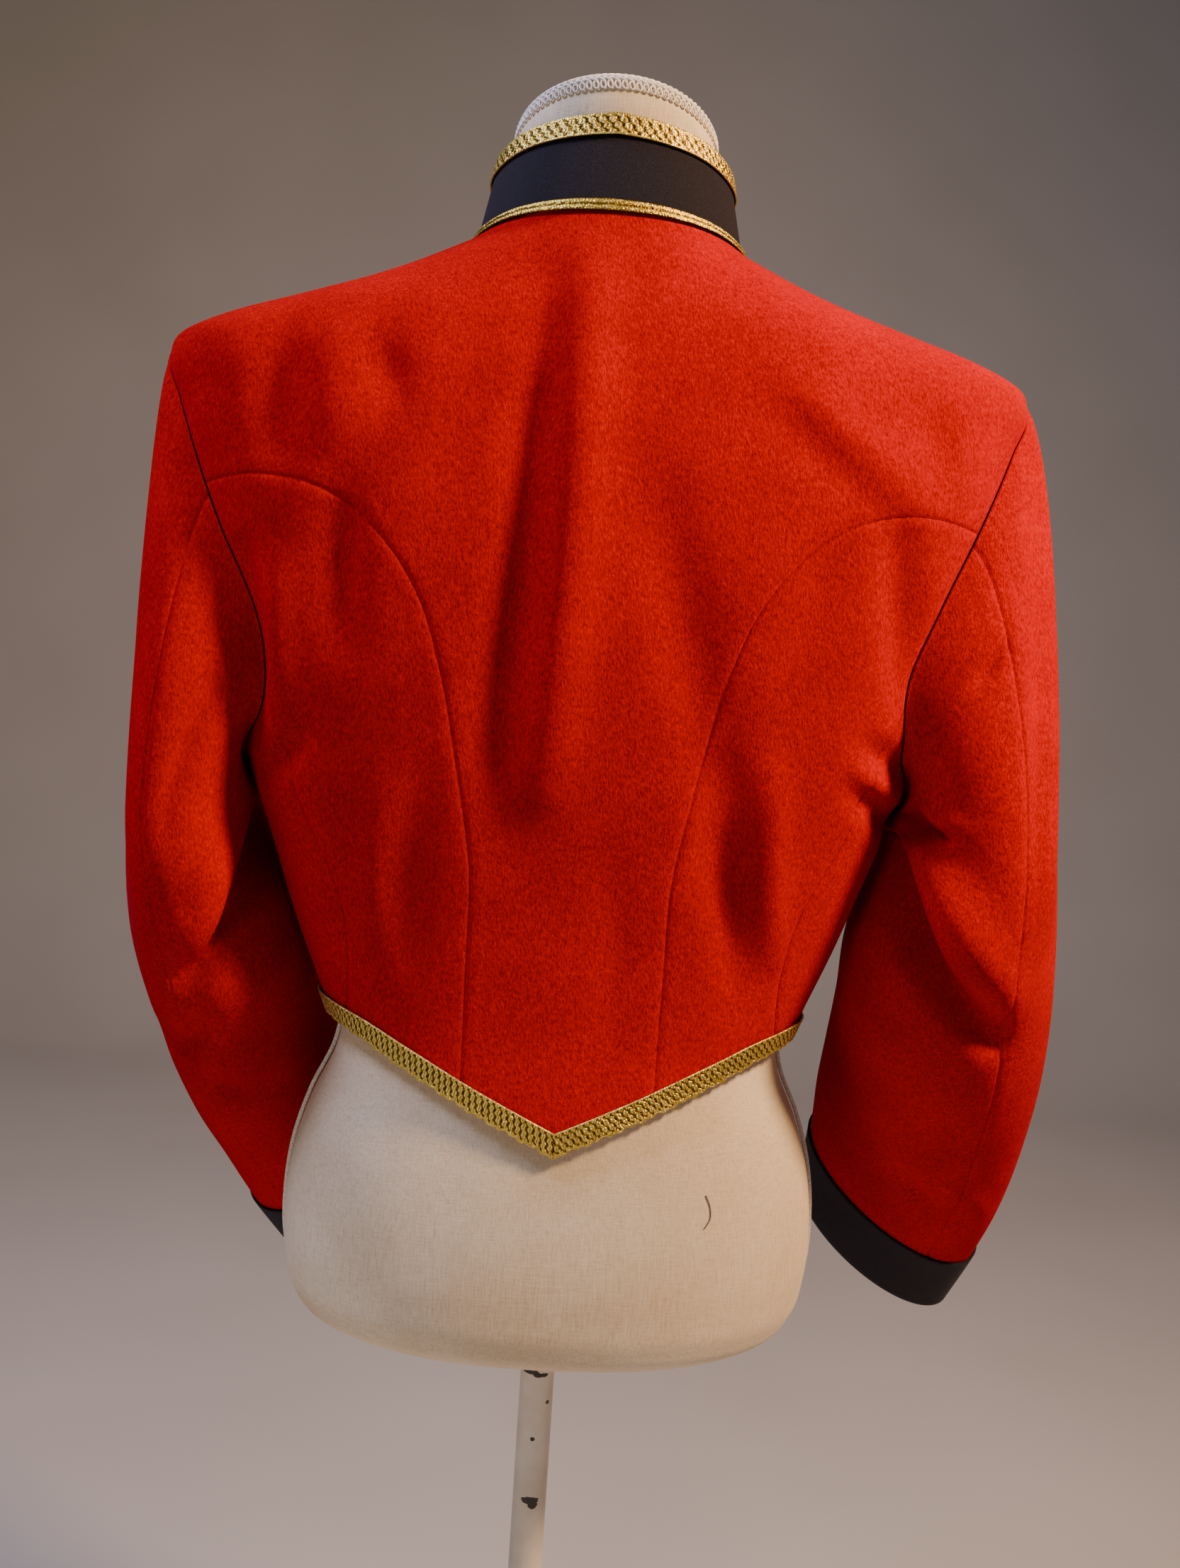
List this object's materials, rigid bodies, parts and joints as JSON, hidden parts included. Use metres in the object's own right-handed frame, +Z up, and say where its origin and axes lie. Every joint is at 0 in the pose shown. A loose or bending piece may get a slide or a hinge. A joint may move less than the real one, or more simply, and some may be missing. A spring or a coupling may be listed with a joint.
{
  "type": "mess jacket on a limbless dress form with a pole stand",
  "caption": "Short scarlet mess jacket with a navy stand collar, navy cuffs and gold braid edges, on a linen dress form that stands on a pole and a round base.",
  "frame": {"origin": "on the floor under the middle of the round base, on the pole's axis", "axes": "+Z up along the pole; the jacket's front faces -Y and the wearer's left is +X"},
  "size_m": [0.5679, 0.3742, 1.3119],
  "materials": {
    "scarlet_melton": "napped wool melton, scarlet, no sheen",
    "navy_cloth": "plain navy wool cloth, matt",
    "gold_braid": "woven gold metal thread braid",
    "form_linen": "fine beige linen, stretched, matt",
    "white_trim": "white cotton gimp and twisted cord",
    "white_paint": "off-white paint, a few small chips",
    "blackened_steel": "blackened steel wire"
  },
  "bodies": {
    "root": {"back": "scarlet_melton", "side_back_left": "scarlet_melton", "side_back_right": "scarlet_melton", "front_left": "scarlet_melton", "front_right": "scarlet_melton", "top_sleeve_left": "scarlet_melton", "top_sleeve_right": "scarlet_melton", "under_sleeve_left": "scarlet_melton", "under_sleeve_right": "scarlet_melton", "cuff_left": "navy_cloth", "cuff_right": "navy_cloth", "collar": "navy_cloth", "collar_braid": "gold_braid", "collar_cord": "gold_braid", "edge_braid_left": "gold_braid", "edge_braid_right": "gold_braid", "collar_hook": "blackened_steel", "collar_eye": "blackened_steel", "dress_form": "form_linen", "neck_braid": "white_trim", "side_cord_left": "white_trim", "side_cord_right": "white_trim", "pole": "white_paint", "pole_ferrule": "white_paint", "stand_base": "white_paint"}
  },
  "joints": []
}
